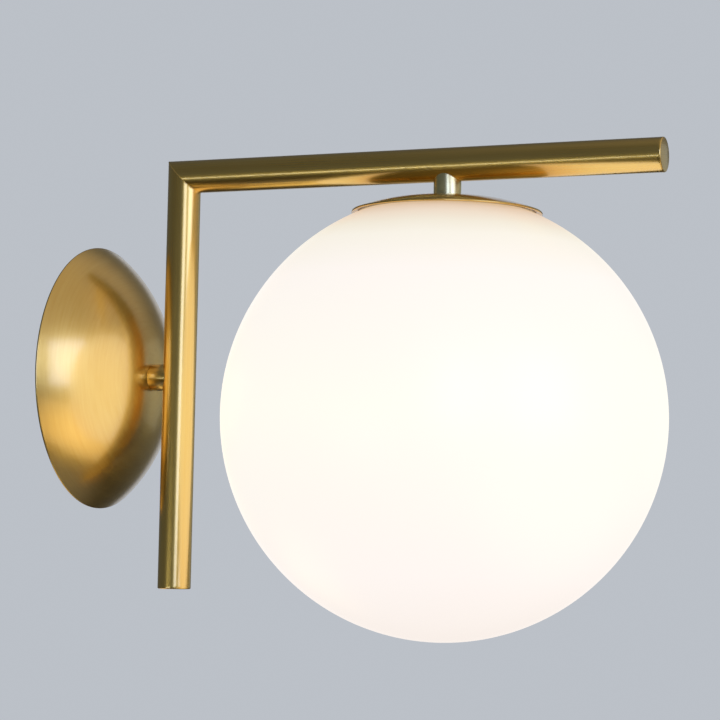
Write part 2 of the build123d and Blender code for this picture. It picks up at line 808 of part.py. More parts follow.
with BuildPart() as holder_cap:
    neck_foot = holder_top - holder_neck_height
    shoulder_foot = neck_foot - holder_shoulder_height
    skirt_foot = holder_top - holder_cap_height
    inner_radius = holder_radius - holder_wall
    with BuildSketch(lamp_section()):
        with BuildLine():
            Polyline(
                (nipple_radius + thread_clearance, neck_foot - holder_wall),
                (nipple_radius + thread_clearance, holder_top),
                (holder_neck_radius, holder_top),
                (holder_neck_radius, neck_foot),
                (holder_radius, shoulder_foot),
                (holder_radius, skirt_foot),
                (inner_radius, skirt_foot),
                (inner_radius, shoulder_foot - holder_wall / 2),
                close=True,
            )
        make_face()
    revolve(axis=LAMP_AXIS)
    circles = holder_cap.edges().filter_by(GeomType.CIRCLE)
    neck = circles.filter_by_position(Axis.Z, neck_foot - level_margin, neck_foot + level_margin)
    fillet(neck, holder_neck_fillet)

with BuildPart() as holder_body:
    with BuildSketch(lamp_plane(body_bottom)):
        Circle(holder_radius)
        Circle(inner_radius, mode=Mode.SUBTRACT)
    extrude(amount=body_top - body_bottom)
    with BuildSketch(lamp_plane(web_underside)):
        Circle(inner_radius)
    extrude(amount=web_thickness)
    rim_edges = holder_body.edges().filter_by(GeomType.CIRCLE).group_by(Axis.Z)[0]
    fillet(rim_edges.sort_by(SortBy.RADIUS)[-1], holder_rim)

with BuildPart() as screw_shell:
    with BuildSketch(lamp_plane(web_underside)):
        Circle(shell_flange_radius)
        Circle(shell_radius - shell_wall, mode=Mode.SUBTRACT)
    extrude(amount=-shell_wall)
    with BuildSketch(lamp_plane(web_underside)):
        Circle(shell_radius)
        Circle(shell_radius - shell_wall, mode=Mode.SUBTRACT)
    extrude(amount=-shell_length)

with BuildPart() as centre_contact:
    contact_foot = contact_reach - contact_width / 2
    with BuildSketch(lamp_section()):
        with BuildLine():
            strip = Polyline(
                (contact_reach, web_underside),
                (contact_foot, web_underside),
                (contact_width / 2, web_underside - contact_thickness),
                (-contact_width / 2, web_underside - contact_thickness),
            )
            offset(strip, amount=contact_thickness, side=Side.LEFT)
        make_face()
    extrude(amount=contact_width / 2, both=True)

terminal_places = [(-terminal_offset, 0), (terminal_offset, 0)]
terminal_top = web_top + terminal_size
terminal_middle = web_top + terminal_size / 2
terminal_face = Plane(
    origin=(0, -globe_reach - terminal_size / 2, terminal_middle), x_dir=(1, 0, 0), z_dir=(0, -1, 0)
)

with BuildPart() as holder_terminals:
    with BuildSketch(lamp_plane(web_top)):
        with Locations(*terminal_places):
            Rectangle(terminal_width, terminal_size)
            Circle(terminal_bore_radius, mode=Mode.SUBTRACT)
    extrude(amount=terminal_size)
    with BuildSketch(terminal_face):
        with Locations(*terminal_places):
            Circle(holder_screw_radius + thread_clearance)
    extrude(amount=-terminal_size / 2, mode=Mode.SUBTRACT)

with BuildPart() as holder_screws:
    screw_end = terminal_size / 2 - lead_radius - thread_clearance
    with BuildSketch(terminal_face.offset(-screw_end)):
        with Locations(*terminal_places):
            Circle(holder_screw_radius)
    extrude(amount=holder_screw_length)

# ------------------------------------------------------------------ LED lamp

with BuildPart() as bulb_tip_contact:
    with BuildSketch(lamp_plane(tip_top)):
        Circle(tip_radius)
    extrude(amount=-tip_height)
    fillet(bulb_tip_contact.edges().group_by(Axis.Z)[-1], tip_height / 2)

insulator_top = tip_top - tip_height
insulator_foot = insulator_top - insulator_height

with BuildPart() as bulb_insulator:
    with BuildSketch(lamp_section()):
        with BuildLine():
            Polyline(
                (0, insulator_foot),
                (screw_cap_radius - thread_depth, insulator_foot),
                (insulator_top_radius, insulator_top),
                (0, insulator_top),
                close=True,
            )
        make_face()
    revolve(axis=LAMP_AXIS)

with BuildPart() as bulb_screw_cap:
    cap_skin = shell_wall
    thread_start = insulator_foot - thread_lead_in
    root = screw_cap_radius - thread_depth
    with BuildSketch(lamp_section()):
        with BuildLine():
            edge = Line((root, insulator_foot), (root, thread_start))
            for turn in range(thread_turns):
                height = thread_start - turn * thread_pitch
                edge = ThreePointArc(
                    (root, height),
                    (screw_cap_radius, height - thread_pitch / 2),
                    (root, height - thread_pitch),
                )
            Polyline(
                edge @ 1,
                (root, cap_joint),
                (root - cap_skin, cap_joint),
                (root - cap_skin, insulator_foot),
                (root, insulator_foot),
            )
        make_face()
    revolve(axis=LAMP_AXIS)

with BuildPart() as bulb_collar:
    with BuildSketch(lamp_section()):
        with BuildLine():
            Polyline(
                (root - cap_skin - bulb_collar_wall, cap_joint),
                (bulb_collar_neck, cap_joint),
                (bulb_collar_radius, collar_joint),
                (bulb_collar_radius - bulb_collar_wall, collar_joint),
                close=True,
            )
        make_face()
    revolve(axis=LAMP_AXIS)

with BuildPart() as bulb_envelope:
    joint_angle = degrees(acos(bulb_collar_radius / envelope_radius))
    inner_bulb = envelope_radius - envelope_wall
    inner_joint = degrees(acos((bulb_collar_radius - envelope_wall) / inner_bulb))
    with BuildSketch(lamp_section()):
        with BuildLine():
            outside = CenterArc((0, envelope_height), envelope_radius, -90, 90 + joint_angle)
            inside = CenterArc((0, envelope_height), inner_bulb, -90, 90 + inner_joint)
            Line(outside @ 0, inside @ 0)
            Line(outside @ 1, inside @ 1)
        make_face()
    revolve(axis=LAMP_AXIS)

board_radius = bulb_collar_radius - bulb_collar_wall - led_board_inset

with BuildPart() as led_board:
    with BuildSketch(lamp_plane(collar_joint)):
        Circle(board_radius)
    extrude(amount=-led_board_thickness)

with BuildPart() as led_emitters:
    with BuildSketch(lamp_plane(collar_joint - led_board_thickness)):
        with PolarLocations(led_circle_radius, led_count):
            Rectangle(led_size, led_size)
    extrude(amount=-led_height)

with BuildPart() as driver_board:
    with BuildSketch(lamp_plane(collar_joint)):
        Rectangle(driver_width, driver_thickness)
    extrude(amount=driver_length)

# ------------------------------------------------------------------ leads


def lead(label, points, room):
    """A lead along straight runs joined by arcs.

    Each arc is as large as its two runs allow, and no larger than the room there.
    """
    radii = []
    for before, corner, after, limit in zip(points, points[1:], points[2:], room):
        run_in = Vector(*corner) - Vector(*before)
        run_out = Vector(*after) - Vector(*corner)
        half_turn = radians(run_in.get_angle(run_out)) / 2
        allowed = bend_share * min(run_in.length, run_out.length) / tan(half_turn)
        radii.append(min(allowed, limit))
    with BuildPart() as wire:
        with BuildLine():
            route = FilletPolyline(*points, radius=radii)
        with BuildSketch(Plane(origin=route @ 0, z_dir=route % 0)):
            Circle(lead_radius)
        sweep()
    tube = wire.part.volume / (pi * lead_radius**2 * route.length)
    print(label, "bends", [round(radius, 1) for radius in radii], "volume share", round(tube, 4))
    return wire


pole_in = block_bottom + lead_into_block
below_block = block_bottom - lead_below_block
spread_height = nipple_bottom - lead_spread_drop
enter_height = terminal_top + lead_entry_height
lead_end = web_top + lead_end_height


def mains_lead(label, pole, side, window):
    """A lead from its pole, through spigot, upright, arm and nipple, to the lampholder."""
    x = side * lead_spread
    rise = arm_height + lead_rise
    points = [
        (pole, -lead_distance, pole_in),
        (pole, -lead_distance, below_block),
        (x, -window, -lead_sag),
        (x, -upright_reach, -lead_sag),
        (x, -upright_reach, rise),
        (x, -globe_reach, rise),
        (x, -globe_reach, spread_height),
        (side * terminal_offset, -globe_reach, enter_height),
        (side * terminal_offset, -globe_reach, lead_end),
    ]
    room = [inf, inf, upright_bend, mitre_bend, nipple_bend, inf, inf]
    return lead(label, points, room)


live_wire = mains_lead("live_wire", -pole_spacing, -1, window_back + live_in_window)
neutral_wire = mains_lead("neutral_wire", 0.0, 1, window_back + neutral_in_window)

tag_barrel_end = tag_barrel_start + tag_barrel_length
barrel_in = along_tag(tag_barrel_end - earth_lead_bite)
barrel_out = along_tag(tag_barrel_end + earth_lead_straight)
earth_points = [
    (barrel_in[0], -barrel_distance, barrel_in[1]),
    (barrel_out[0], -barrel_distance, barrel_out[1]),
    (pole_spacing + earth_bow_out, -lead_distance + earth_bow_back, earth_bow_height),
    (pole_spacing, -lead_distance, below_block),
    (pole_spacing, -lead_distance, pole_in),
]
earth_wire = lead("earth_wire", earth_points, [inf, inf, inf])

# ------------------------------------------------------------------ the pieces

pieces = {
    "wall_bracket": wall_bracket,
    "wall_spigot": wall_spigot,
    "spigot_nuts": spigot_nuts,
    "spigot_washer": spigot_washer,
    "canopy": canopy,
    "terminal_block": terminal_block,
    "terminal_inserts": terminal_inserts,
    "terminal_screws": terminal_screws,
    "block_screw": block_screw,
    "earth_screw": earth_screw,
    "earth_tag": earth_tag,
    "earth_wire": earth_wire,
    "live_wire": live_wire,
    "neutral_wire": neutral_wire,
    "frame_stub": frame_stub,
    "stub_grub_screw": stub_grub_screw,
    "upright_tube": upright_tube,
    "arm_tube": arm_tube,
    "upright_end_plug": upright_end_plug,
    "arm_end_plug": arm_end_plug,
    "stem": stem,
    "arm_saddle_nut": arm_saddle_nut,
    "stem_nipple": stem_nipple,
    "globe_cap": globe_cap,
    "cap_gasket": cap_gasket,
    "gallery_plate": gallery_plate,
    "leaf_springs": leaf_springs,
    "spring_rivets": spring_rivets,
    "nipple_washer": nipple_washer,
    "nipple_nut": nipple_nut,
    "holder_cap": holder_cap,
    "holder_body": holder_body,
    "screw_shell": screw_shell,
    "centre_contact": centre_contact,
    "holder_terminals": holder_terminals,
    "holder_screws": holder_screws,
    "globe": globe,
    "globe_collar": globe_collar,
    "bulb_tip_contact": bulb_tip_contact,
    "bulb_insulator": bulb_insulator,
    "bulb_screw_cap": bulb_screw_cap,
    "bulb_collar": bulb_collar,
    "bulb_envelope": bulb_envelope,
    "led_board": led_board,
    "led_emitters": led_emitters,
    "driver_board": driver_board,
}

os.makedirs("parts", exist_ok=True)
for name, piece in pieces.items():
    piece.part.label = name
    export_step(piece.part, f"parts/{name}.step")
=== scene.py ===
# %% [markdown]
# # A globe wall sconce
#
# The light is a domed brass canopy, a mitred tube frame and an opal glass globe that hangs under
# the arm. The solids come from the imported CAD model. This lesson gives them their finishes, and
# remakes the pieces that need more than a plain solid: the spun canopy and cap with their rolled
# edges, the braze of the mitre, the turned end plugs, the coped stem, the blown globe, and the
# eased edges of the pressed and moulded pieces. Each cell makes one piece or one finish.

# %% Load the frame
import json
import math

import bpy
from mathutils import Matrix, Vector


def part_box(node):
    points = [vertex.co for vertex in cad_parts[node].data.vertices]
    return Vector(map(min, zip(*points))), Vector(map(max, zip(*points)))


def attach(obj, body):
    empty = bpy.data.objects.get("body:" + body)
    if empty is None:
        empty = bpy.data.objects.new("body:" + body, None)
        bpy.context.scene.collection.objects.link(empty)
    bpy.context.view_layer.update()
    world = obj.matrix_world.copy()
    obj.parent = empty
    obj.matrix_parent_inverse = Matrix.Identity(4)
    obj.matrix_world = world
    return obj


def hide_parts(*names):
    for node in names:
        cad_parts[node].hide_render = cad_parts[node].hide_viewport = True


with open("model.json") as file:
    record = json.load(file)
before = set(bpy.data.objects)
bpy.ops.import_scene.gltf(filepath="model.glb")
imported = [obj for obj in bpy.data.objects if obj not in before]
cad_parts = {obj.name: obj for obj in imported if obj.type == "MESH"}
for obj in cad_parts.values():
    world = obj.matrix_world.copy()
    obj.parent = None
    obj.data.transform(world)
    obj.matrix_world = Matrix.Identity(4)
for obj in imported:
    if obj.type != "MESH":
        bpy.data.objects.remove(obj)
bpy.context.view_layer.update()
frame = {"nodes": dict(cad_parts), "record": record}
nodes = frame["nodes"]

# %% [markdown]
# ## Units and places
#
# The sizes below are in millimetres, as in a workshop drawing, and MM makes them metres. Most
# pieces are turned, and they sit on one of two axes: the canopy's, which runs straight out
# through its centre, and the lamp's, which runs down through the globe. A turned piece is drawn
# round the Z axis, and one of the two matrices then brings it to its place.

# %% Units and places
MM = 0.001
GLOBE_REACH = 175.5
GLOBE_RADIUS = 100.0
TUBE_RADIUS = 7.8
UPRIGHT_REACH = 43.0
ARM_HEIGHT = 95.0
CANOPY_AXIS = Matrix.Rotation(math.radians(90), 4, "X")
LAMP_AXIS = Matrix.Translation((0, -GLOBE_REACH * MM, 0))


def span(node, axis):
    """Lowest and highest place of a CAD node along x, y or z, in millimetres."""
    low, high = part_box(node)
    return getattr(low, axis) / MM, getattr(high, axis) / MM


globe_low, globe_high = span("globe", "z")
globe_middle = globe_low + GLOBE_RADIUS
print("globe from", round(globe_low, 2), "to", round(globe_high, 2), "mm")

# %% [markdown]
# ## The camera
#
# The photograph looks along the arm's side from the left, a little from below, with a long lens.
# A camera could be moved by eye until the outlines agree. Here one was fitted to the outlines of
# the tubes and the globe, and its numbers stand below, because a fit finds the lens as well. The
# three directions of the camera make the three columns of its matrix.

# %% Camera
PICTURE_SIDE = 720
FOCAL_PIXELS = 2292.37
CAMERA_PLACE = (-0.96280, -0.52915, -0.07704)
azimuth, look_up, roll = (math.radians(angle) for angle in (-67.7121, 4.6186, 1.1206))
back = Vector((
    math.sin(azimuth) * math.cos(look_up),
    -math.cos(azimuth) * math.cos(look_up),
    -math.sin(look_up),
))
level_right = Vector((math.cos(azimuth), math.sin(azimuth), 0))
level_up = back.cross(level_right)
right = math.cos(roll) * level_right + math.sin(roll) * level_up
up = math.cos(roll) * level_up - math.sin(roll) * level_right

camera = bpy.data.objects.new("camera", bpy.data.cameras.new("camera"))
bpy.context.scene.collection.objects.link(camera)
camera.matrix_world = (
    Matrix.Translation(CAMERA_PLACE) @ Matrix((right, up, back)).transposed().to_4x4()
)
camera.data.lens = FOCAL_PIXELS / PICTURE_SIDE * camera.data.sensor_width
bpy.context.scene.camera = camera
print("lens", round(camera.data.lens, 1), "mm")

# %% [markdown]
# ## Helpers for modelling
#
# An operator works on whatever is selected, so each step starts by selecting nothing. A modifier
# is applied as soon as it is set, so that the mesh itself has the shape.


# %% Selecting and applying
def select_only(piece=None):
    """Leaves edit mode and selects one piece, or nothing."""
    if bpy.context.object and bpy.context.object.mode != "OBJECT":
        bpy.ops.object.mode_set(mode="OBJECT")
    bpy.ops.object.select_all(action="DESELECT")
    if piece:
        piece.select_set(True)
        bpy.context.view_layer.objects.active = piece


def apply(piece, modifier):
    """Applies one modifier."""
    select_only(piece)
    bpy.ops.object.modifier_apply(modifier=modifier.name)


def place(piece, matrix):
    """Puts the place of a piece into its mesh; its object stays at the origin."""
    piece.data.transform(matrix)
    piece.data.update()


def smooth(piece, angle):
    """Smooth shading that keeps the edges sharper than this angle."""
    select_only(piece)
    bpy.ops.object.shade_smooth_by_angle(angle=math.radians(angle))


def ease(piece, width, segments=2, angle=30):
    """Rounds every edge sharper than an angle, by a width in millimetres."""
    bevel = piece.modifiers.new("eased", "BEVEL")
    bevel.width = width * MM
    bevel.segments = segments
    bevel.limit_method = "ANGLE"
    bevel.angle_limit = math.radians(angle)
    apply(piece, bevel)


# %% [markdown]
# ## Turning
#
# Spun sheet, turned rod and blown glass are all round, so one helper makes them. A Screw modifier
# on a drawn curve would do it too, but the spin operator works on a mesh and leaves a mesh. The
# piece begins as a circle with as many corners as its outline has. The corners are moved to the
# outline, and the spin turns the outline into a body. Where the outline touches the axis, the spin
# leaves double corners, and these are merged before the normals are set.


# %% Turning
def arc(centre, radius, start, end, steps):
    """Points on an arc of an outline, from one angle to another, in degrees."""
    angles = [math.radians(start + (end - start) * i / steps) for i in range(steps + 1)]
    return [(centre[0] + radius * math.cos(a), centre[1] + radius * math.sin(a)) for a in angles]


def clean(piece):
    """Merges what a spin leaves double and points every face outwards."""
    select_only(piece)
    bpy.ops.object.mode_set(mode="EDIT")
    bpy.ops.mesh.select_all(action="SELECT")
    bpy.ops.mesh.remove_doubles(threshold=1e-6)
    bpy.ops.mesh.dissolve_degenerate(threshold=1e-7)
    bpy.ops.mesh.delete_loose(use_verts=True, use_edges=True, use_faces=False)
    bpy.ops.mesh.select_all(action="SELECT")
    bpy.ops.mesh.normals_make_consistent(inside=False)
    bpy.ops.object.mode_set(mode="OBJECT")


def lathe(name, outline, matrix=LAMP_AXIS, steps=96):
    """Turns a closed outline of (radius, height) corners, in millimetres, into a body."""
    select_only()
    bpy.ops.mesh.primitive_circle_add(vertices=len(outline), radius=MM)
    piece = bpy.context.object
    piece.name = name
    piece.data.name = name
    for corner, (radius, height) in zip(piece.data.vertices, outline):
        corner.co = (radius * MM, 0, height * MM)
    bpy.ops.object.mode_set(mode="EDIT")
    bpy.ops.mesh.select_all(action="SELECT")
    bpy.ops.mesh.spin(steps=steps, angle=math.tau, center=(0, 0, 0), axis=(0, 0, 1))
    bpy.ops.object.mode_set(mode="OBJECT")
    clean(piece)
    place(piece, matrix)
    return piece


# %% [markdown]
# ## Helpers for finishes
#
# A finish is a tree of nodes. They could be placed by hand in the shader editor, but a pattern is
# a sum, and it reads better as one. Number wraps a socket, and each sign between two of them adds
# the Math node that it stands for.


# %% Shader maths
class Number:
    """A number that changes over a surface. The signs + - * / ** add Math nodes."""

    def __init__(self, tree, socket):
        self.tree = tree
        self.socket = socket

    def sign(self, operation, first, second):
        return self.tree.add("ShaderNodeMath", {"operation": operation}, {0: first, 1: second})

    def __add__(self, other):
        return self.sign("ADD", self, other)

    __radd__ = __add__

    def __mul__(self, other):
        return self.sign("MULTIPLY", self, other)

    __rmul__ = __mul__

    def __sub__(self, other):
        return self.sign("SUBTRACT", self, other)

    def __rsub__(self, other):
        return self.sign("SUBTRACT", other, self)

    def __truediv__(self, other):
        return self.sign("DIVIDE", self, other)

    def __pow__(self, other):
        return self.sign("POWER", self, other)


# %% [markdown]
# ## A tree that grows
#
# Every other node comes from one method, add. It takes the kind of node, its settings and the
# values or links of its sockets. The settings are set first, because some of them change which
# sockets the node has.


# %% Trees
class Tree:
    """A node tree of a material or of the world, and the ways to add to it."""

    def __init__(self, tree):
        self.tree = tree

    def add(self, kind, settings=None, inputs=None, out=0):
        node = self.tree.nodes.new(kind)
        for name, value in (settings or {}).items():
            if name == "stops":
                for stop, (position, color) in zip(self.stops(node, len(value)), value):
                    stop.position = position
                    stop.color = (*color, 1)
            else:
                setattr(node, name, value)
        for name, value in (inputs or {}).items():
            self.give(node.inputs[name], value)
        return Number(self, node.outputs[out])

    def stops(self, node, count):
        """The stops of a colour ramp, with as many as are asked for."""
        while len(node.color_ramp.elements) < count:
            node.color_ramp.elements.new(1)
        return node.color_ramp.elements

    def give(self, socket, value):
        """Links a Number to a socket, or sets a constant on it."""
        if isinstance(value, Number):
            self.tree.links.new(value.socket, socket)
        elif hasattr(value, "__len__") and len(value) == 3 and socket.type == "RGBA":
            socket.default_value = (*value, 1)
        else:
            socket.default_value = value

    def split(self, vector):
        """The three numbers of a vector."""
        parts = self.add("ShaderNodeSeparateXYZ", {}, {0: vector})
        return [Number(self, socket) for socket in parts.socket.node.outputs]

    def mix(self, share, first, second):
        """A colour between two."""
        return self.add("ShaderNodeMix", {"data_type": "RGBA"}, {0: share, 6: first, 7: second}, 2)

    def limit(self, value, low, high):
        """Zero below low, one above high and a smooth step between."""
        return self.add(
            "ShaderNodeMapRange",
            {"interpolation_type": "SMOOTHSTEP"},
            {"Value": value, "From Min": low, "From Max": high},
        )


# %% [markdown]
# ## A finish
#
# A finish is a material with one Principled shader. What is the same all over goes on the shader's
# own sockets as a constant, and only what changes over the surface is linked. The patterns read
# Object coordinates, so they sit still on the piece when it moves.


# %% Finishes
class Finish(Tree):
    """A material whose shader gets constants on its own sockets and patterns by links."""

    def __init__(self, name, **surface):
        self.material = bpy.data.materials.new(name)
        self.material.use_nodes = True
        super().__init__(self.material.node_tree)
        self.shader = self.tree.nodes["Principled BSDF"]
        self.set(**surface)

    def set(self, **surface):
        """Sets the shader's sockets; base_color stands for Base Color."""
        for name, value in surface.items():
            title = name.replace("_", " ").title().replace("Ior", "IOR")
            self.give(self.shader.inputs[title], value)

    def xyz(self, centre=(0, 0, 0)):
        """The three Object coordinates, in millimetres, from a centre."""
        spot = self.add("ShaderNodeTexCoord", out="Object")
        moved = self.add(
            "ShaderNodeMapping",
            {},
            {"Vector": spot, "Location": [-c for c in centre], "Scale": [1 / MM] * 3},
        )
        return self.split(moved)

    def noise(self, x, y, z, detail=2.0):
        """Smooth noise, 0 to 1, with one grain per unit of its three coordinates."""
        spot = self.add("ShaderNodeCombineXYZ", {}, {0: x, 1: y, 2: z})
        return self.add(
            "ShaderNodeTexNoise",
            {},
            {"Vector": spot, "Scale": 1.0, "Detail": detail, "Roughness": 0.5},
        )

    def bump(self, height, depth):
        """A normal from a height of 0 to 1 and its depth in millimetres."""
        return self.add(
            "ShaderNodeBump", {}, {"Height": height, "Distance": depth * MM, "Strength": 1.0}
        )


# %% [markdown]
# ## The brushed brass
#
# Every brass piece is satin brushed and lacquered. The brush leaves fine parallel lines, along the
# tubes and round the spun pieces. An anisotropic shader would widen a reflection across the lines
# without drawing one. Noise that is stretched a lot in one direction does both: it changes the
# roughness and the colour a little and cuts a very shallow relief. The lacquer is a thin clear
# coat, which gives the colourless reflection of the globe over the warm satin.

# %% Brushed brass
BRASS_LIGHT = (0.93, 0.64, 0.175)
BRASS_DEEP = (0.87, 0.555, 0.12)
LINE_PITCHES = (0.14, 0.45, 1.5, 12.0)
CLOUD_PITCH = 5.0


def brushed_brass(name, lines, spread, roughness=0.28, lacquer=0.10, gloss=1.75):
    """Brass from a pattern of lines; spread is how far the brush widens a reflection."""
    brass = Finish(name, metallic=1.0, coat_weight=1.0, coat_roughness=lacquer, coat_ior=gloss)
    scratches, fine, wide, slow = (lines(brass, pitch) for pitch in LINE_PITCHES)
    tone = brass.limit(fine * 0.3 + wide * 0.35 + slow * 0.35, 0.3, 0.7)
    brass.set(
        base_color=brass.mix(tone, BRASS_DEEP, BRASS_LIGHT),
        roughness=roughness - 0.05 + fine * 0.05 + slow * 0.06,
        normal=brass.bump(scratches + fine * 0.2, spread),
    )
    return brass.material


def along(direction):
    """Lines that run along x, y or z; a wide pitch gives soft clouds in place of lines."""

    def lines(finish, pitch):
        stretch = 160 if pitch < CLOUD_PITCH else 5
        scaled = [
            axis / (pitch * stretch if name == direction else pitch)
            for name, axis in zip("xyz", finish.xyz())
        ]
        return finish.noise(*scaled)

    return lines


def around(axis, centre=(0, 0, 0)):
    """Lines that run round an axis through a centre."""

    def lines(finish, pitch):
        x, y, z = finish.xyz(centre)
        side, height = (z, y) if axis == "y" else (y, z)
        radius = (x * x + side * side) ** 0.5 + 0.01
        swing = 3.0 if pitch < CLOUD_PITCH else 1.0
        return finish.noise(
            (radius + height * 0.6) / pitch, x / radius * swing, side / radius * swing
        )

    return lines


# %% [markdown]
# ## Brass, piece by piece
#
# Each piece was held to the wheel in its own way: the tubes along their length, the canopy, the
# cap and the end plugs as they turned. The canopy is the largest and the dullest of them.

# %% Brass finishes
lamp_centre = (0, -GLOBE_REACH, 0)
upright_centre = (0, -UPRIGHT_REACH, 0)
arm_centre = (0, 0, ARM_HEIGHT)
brass_upright = brushed_brass("brass_upright", along("z"), 0.009)
brass_arm = brushed_brass("brass_arm", along("y"), 0.011)
brass_canopy = brushed_brass("brass_canopy", around("y"), 0.020, 0.31, 0.17, 1.9)
brass_cap = brushed_brass("brass_cap", around("z", lamp_centre), 0.012)
brass_stub = brushed_brass("brass_stub", along("y"), 0.004)
brass_end_upright = brushed_brass("brass_end_upright", around("z", upright_centre), 0.004)
brass_end_arm = brushed_brass("brass_end_arm", around("y", arm_centre), 0.002)
print("brass finishes", len([m for m in bpy.data.materials if m.name.startswith("brass")]))

# %% [markdown]
# ## The lit globe
#
# Opal glass is white all through, and the lamp inside makes it glow. A lamp seen through it has no
# outline: the glass is brightest round the lamp and falls off towards the neck, where it turns tan
# under the cap. Light could be traced through the glass, but that is slow and noisy. So the glow
# is an emission colour that depends on height, with a very slow cloud, and the etched face keeps a
# soft gloss.

# %% Opal glass
opal = Finish(
    "opal_glass_lit",
    base_color=(0.09, 0.088, 0.08),
    roughness=0.42,
    emission_strength=1.0,
    coat_weight=0.1,
    coat_roughness=0.3,
)
x, y, z = opal.xyz((0, -GLOBE_REACH, globe_middle))
CLOUD_SIZE = 40
CLOUD_SHIFT = 4.0
ETCH_GRAIN = 0.6
waver = opal.noise(x / CLOUD_SIZE, y / CLOUD_SIZE, z / CLOUD_SIZE)
glow_by_height = [
    (-100, (0.93, 0.85, 0.80)),
    (-70, (0.97, 0.90, 0.86)),
    (0, (1.0, 0.965, 0.87)),
    (58, (0.97, 0.91, 0.86)),
    (75, (0.92, 0.87, 0.77)),
    (81, (0.87, 0.80, 0.67)),
    (86, (0.83, 0.69, 0.55)),
    (90, (0.72, 0.55, 0.41)),
    (93, (0.55, 0.37, 0.17)),
]
GLOBE_WIDTH = 2 * GLOBE_RADIUS
glow = opal.add(
    "ShaderNodeValToRGB",
    {"stops": [((height + GLOBE_RADIUS) / GLOBE_WIDTH, color) for height, color in glow_by_height]},
    {0: (z + waver * CLOUD_SHIFT + (GLOBE_RADIUS - CLOUD_SHIFT / 2)) / GLOBE_WIDTH},
)
opal.set(
    emission_color=glow,
    normal=opal.bump(opal.noise(x / ETCH_GRAIN, y / ETCH_GRAIN, z / ETCH_GRAIN), 0.004),
)
print("glow stops", len(glow_by_height))

# %% [markdown]
# ## Metals inside and on the stem
#
# The stem is a paler, smoother nickel. Zinc plate is blue-grey with a faint spangle, bright spring
# steel is darker and smoother, and turned brass keeps the rings of the lathe. Two recipes are
# enough for all of them: an even grain, and the same rings as round the spun pieces.


# %% Other metals
def plain_metal(name, light, deep, roughness, grain, depth):
    """Metal with a fine grain that changes its tone, its roughness and its relief."""
    metal = Finish(name, metallic=1.0)
    mx, my, mz = metal.xyz()
    patch = grain * 14
    small = metal.noise(mx / grain, my / grain, mz / grain, detail=3.0)
    large = metal.noise(mx / patch, my / patch, mz / patch)
    metal.set(
        base_color=metal.mix(metal.limit(small * 0.5 + large * 0.5, 0.3, 0.7), deep, light),
        roughness=roughness - 0.06 + small * 0.08 + large * 0.06,
        normal=metal.bump(small, depth),
    )
    return metal.material


def turned_metal(name, light, deep, roughness, axis, centre):
    """Metal with the fine rings that a lathe leaves."""
    metal = Finish(name, metallic=1.0)
    rings, tone = (around(axis, centre)(metal, pitch) for pitch in (0.25, 3.0))
    metal.set(
        base_color=metal.mix(metal.limit(rings * 0.5 + tone * 0.5, 0.3, 0.7), deep, light),
        roughness=roughness - 0.04 + rings * 0.08,
        normal=metal.bump(rings, 0.01),
    )
    return metal.material


RAW_BRASS, RAW_BRASS_DEEP = (0.80, 0.61, 0.27), (0.66, 0.46, 0.17)
nickel_stem = turned_metal(
    "nickel_stem", (0.95, 0.86, 0.50), (0.84, 0.74, 0.40), 0.3, "z", lamp_centre
)
zinc = plain_metal("zinc_plate", (0.70, 0.72, 0.74), (0.55, 0.57, 0.60), 0.36, 0.5, 0.01)
spring_steel = plain_metal("spring_steel", (0.62, 0.62, 0.61), (0.48, 0.48, 0.48), 0.24, 0.4, 0.006)
turned_brass_wall = turned_metal(
    "turned_brass_wall", RAW_BRASS, RAW_BRASS_DEEP, 0.26, "y", (0, 0, 0)
)
turned_brass_lamp = turned_metal(
    "turned_brass_lamp", RAW_BRASS, RAW_BRASS_DEEP, 0.26, "z", lamp_centre
)
stamped_brass = plain_metal("stamped_brass", RAW_BRASS, (0.64, 0.45, 0.17), 0.3, 0.6, 0.01)
cap_nickel = plain_metal("lamp_cap_nickel", (0.72, 0.71, 0.67), (0.58, 0.57, 0.53), 0.22, 0.5, 0.006)
print("finishes so far", len(bpy.data.materials))

# %% [markdown]
# ## Plastics, glaze, silicone and boards
#
# A moulded plastic has a fine spark-eroded texture, which breaks its gloss. The colours of two of
# the leads follow the usual code, brown and blue.


# %% Plastics
def moulded(name, color, shade, roughness, **more):
    """Plastic with a fine moulded texture and slightly uneven gloss."""
    plastic = Finish(name, **more)
    px, py, pz = plastic.xyz()
    grain, patch = 0.35, 9
    small = plastic.noise(px / grain, py / grain, pz / grain, detail=3.0)
    large = plastic.noise(px / patch, py / patch, pz / patch)
    plastic.set(
        base_color=plastic.mix(plastic.limit(large * 0.7 + small * 0.3, 0.35, 0.65), shade, color),
        roughness=roughness - 0.05 + small * 0.1,
        normal=plastic.bump(small, 0.012),
    )
    return plastic.material


white_plastic = moulded("white_plastic", (0.88, 0.85, 0.74), (0.82, 0.79, 0.68), 0.42)
holder_plastic = moulded("holder_plastic", (0.88, 0.82, 0.67), (0.82, 0.76, 0.60), 0.38)
diffuser = moulded(
    "lamp_diffuser",
    (0.90, 0.88, 0.83),
    (0.86, 0.83, 0.77),
    0.4,
    emission_color=(1.0, 0.86, 0.66),
    emission_strength=0.6,
)
black_glaze = moulded("black_glaze", (0.025, 0.025, 0.028), (0.015, 0.015, 0.017), 0.16)
silicone = moulded("silicone", (0.80, 0.80, 0.76), (0.74, 0.74, 0.70), 0.6)
live_brown = moulded("live_brown", (0.22, 0.095, 0.04), (0.17, 0.07, 0.03), 0.33)
neutral_blue = moulded("neutral_blue", (0.045, 0.16, 0.50), (0.035, 0.12, 0.40), 0.33)
board_white = moulded("board_white", (0.82, 0.83, 0.80), (0.76, 0.77, 0.74), 0.35)
board_green = moulded("board_green", (0.06, 0.20, 0.10), (0.04, 0.15, 0.07), 0.32)
